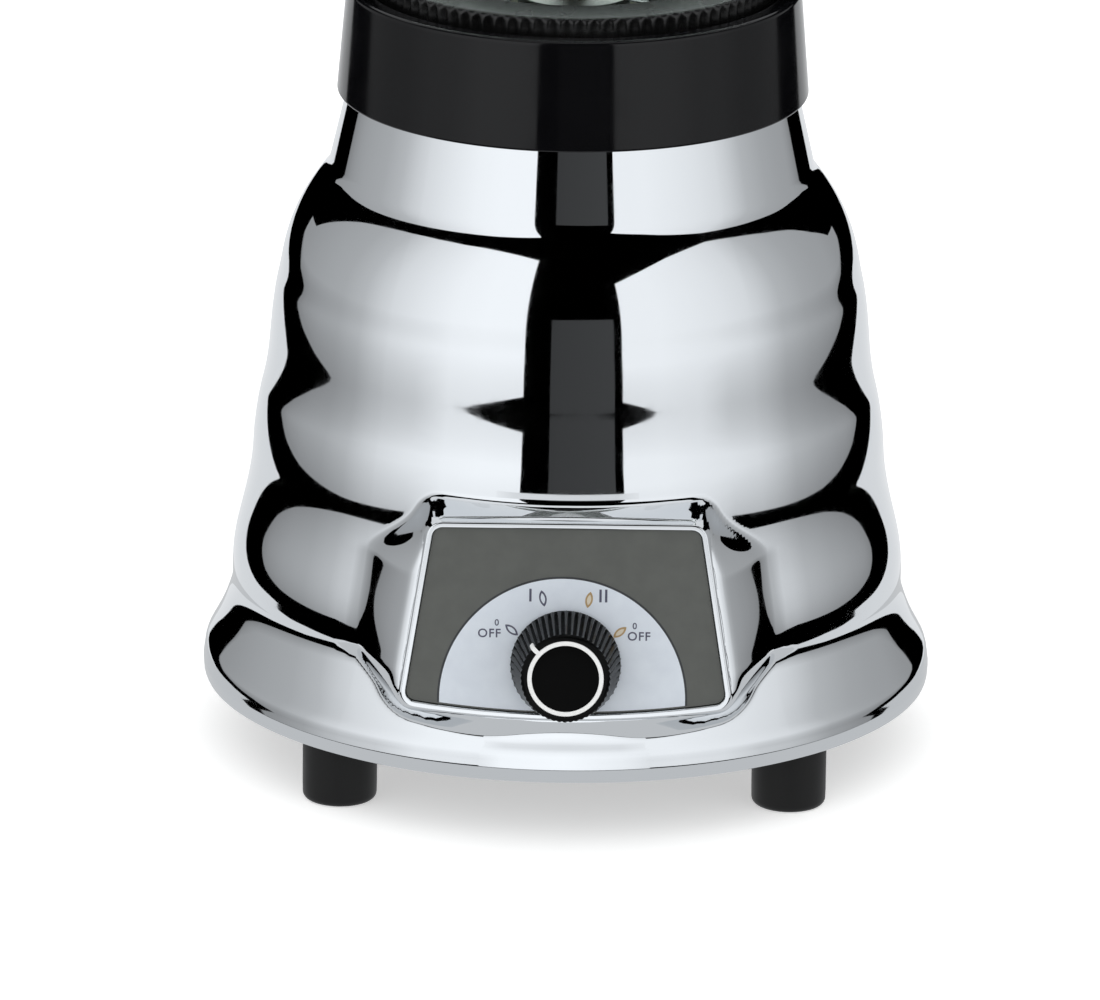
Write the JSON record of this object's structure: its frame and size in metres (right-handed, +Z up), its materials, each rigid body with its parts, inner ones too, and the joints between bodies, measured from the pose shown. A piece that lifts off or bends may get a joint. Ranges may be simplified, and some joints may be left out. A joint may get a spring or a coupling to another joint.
{
  "type": "countertop blender",
  "caption": "Countertop blender with a chrome stepped motor base, a dial with a ribbed knob, rubber feet, and a glass jar with cutter unit, lid and filler cap.",
  "frame": {"origin": "on the floor under the motor base's axis, at the centre of the four feet", "axes": "+Z up along the motor's axis, -Y towards the dial panel, +X towards the jar's handle"},
  "size_m": [0.1908, 0.2078, 0.3884],
  "materials": {
    "chrome_casting": "polished, chrome-plated zinc die casting, mirror bright",
    "black_satin_plastic": "moulded black phenolic, satin",
    "black_gloss_plastic": "moulded black plastic, polished",
    "white_plastic": "white moulded plastic",
    "dial_paint": "aluminium plate screen-printed olive grey with a light blue-grey dial",
    "black_rubber": "moulded black rubber",
    "sheet_steel": "pressed steel, black enamel",
    "zinc_steel": "zinc-plated or ground steel",
    "drive_steel": "case-hardened steel, ground",
    "tan_phenolic": "moulded phenolic switch case",
    "black_epoxy": "moulded epoxy",
    "cast_aluminium": "die-cast aluminium, as cast",
    "lamination_steel": "stacked silicon-steel laminations",
    "copper_winding": "enamelled copper wire and copper bars",
    "bearing_bronze": "oil-impregnated sintered bronze",
    "holder_brass": "pressed brass",
    "carbon": "pressed carbon",
    "capacitor_blue": "dipped epoxy",
    "lead_insulation": "silicone-insulated wire",
    "fan_plastic": "glass-filled nylon",
    "stainless": "stainless steel, ground edges",
    "gasket_rubber": "food-grade sealing ring",
    "jar_glass": "clear pressed glass",
    "clear_plastic": "clear moulded plastic measuring cap"
  },
  "bodies": {
    "base": {"housing": "chrome_casting", "bottom_plate": "sheet_steel", "foot_front_left": "black_rubber", "foot_front_right": "black_rubber", "foot_rear_left": "black_rubber", "foot_rear_right": "black_rubber", "foot_screws": "zinc_steel", "cord_grommet": "black_rubber", "dial_plate": "dial_paint", "speed_switch": "tan_phenolic", "switch_nut": "zinc_steel", "speed_diode": "black_epoxy", "jar_collar": "black_satin_plastic", "collar_screws": "zinc_steel", "shaft_seal": "black_rubber", "upper_bracket": "cast_aluminium", "lower_bracket": "cast_aluminium", "motor_mounts": "black_rubber", "motor_bolts": "zinc_steel", "field_core": "lamination_steel", "field_coil_front": "copper_winding", "field_coil_rear": "copper_winding", "upper_bearing": "bearing_bronze", "lower_bearing": "bearing_bronze", "brush_holder_front": "holder_brass", "brush_holder_rear": "holder_brass", "carbon_brush_front": "carbon", "carbon_brush_rear": "carbon", "brush_spring_front": "zinc_steel", "brush_spring_rear": "zinc_steel", "noise_capacitor": "capacitor_blue", "motor_leads": "lead_insulation"},
    "rotor": {"motor_shaft": "zinc_steel", "armature_core": "lamination_steel", "armature_windings": "copper_winding", "commutator": "copper_winding", "cooling_fan": "fan_plastic", "thrust_washers": "zinc_steel", "slinger": "black_rubber", "drive_stud": "drive_steel"},
    "knob": {"knob": "black_satin_plastic", "pointer_ring": "white_plastic", "knob_disc": "black_gloss_plastic", "switch_shaft": "zinc_steel"},
    "jar_foot": {"jar_nut": "black_satin_plastic", "cutter_carrier": "stainless", "jar_gasket": "gasket_rubber", "cutter_bush": "bearing_bronze"},
    "cutter": {"jar_coupling": "fan_plastic", "blade_shaft": "stainless", "thrust_washer": "white_plastic", "lower_blade": "stainless", "upper_blade": "stainless", "blade_nut": "stainless"},
    "jar": {"jar_glass": "jar_glass"},
    "lid": {"jar_lid": "black_satin_plastic"},
    "filler_cap": {"filler_cap": "clear_plastic"}
  },
  "joints": [
    {"name": "motor_spin", "type": "hinge", "parent": "base", "child": "rotor", "pos_m": [0, 0, 0.1], "axis": [0, 0, 1], "continuous": true},
    {"name": "knob_turn", "type": "hinge", "parent": "base", "child": "knob", "pos_m": [0, -0.0912, 0.048], "axis": [0, 0.9914, -0.1305], "range_deg": [0, 114]},
    {"name": "jar_lift", "type": "slide", "parent": "base", "child": "jar_foot", "axis": [0, 0, 1], "range_m": [0, 0.08]},
    {"name": "blade_spin", "type": "hinge", "parent": "jar_foot", "child": "cutter", "pos_m": [0, 0, 0.2], "axis": [0, 0, 1], "continuous": true},
    {"name": "jar_unscrew", "type": "slide", "parent": "jar_foot", "child": "jar", "axis": [0, 0, 1], "range_m": [0, 0.03]},
    {"name": "lid_lift", "type": "slide", "parent": "jar", "child": "lid", "axis": [0, 0, 1], "range_m": [0, 0.05]},
    {"name": "cap_lift", "type": "slide", "parent": "lid", "child": "filler_cap", "axis": [0, 0, 1], "range_m": [0, 0.04]}
  ],
  "couplings": [
    {"joint": "blade_spin", "follows": "motor_spin", "ratio": 1}
  ]
}
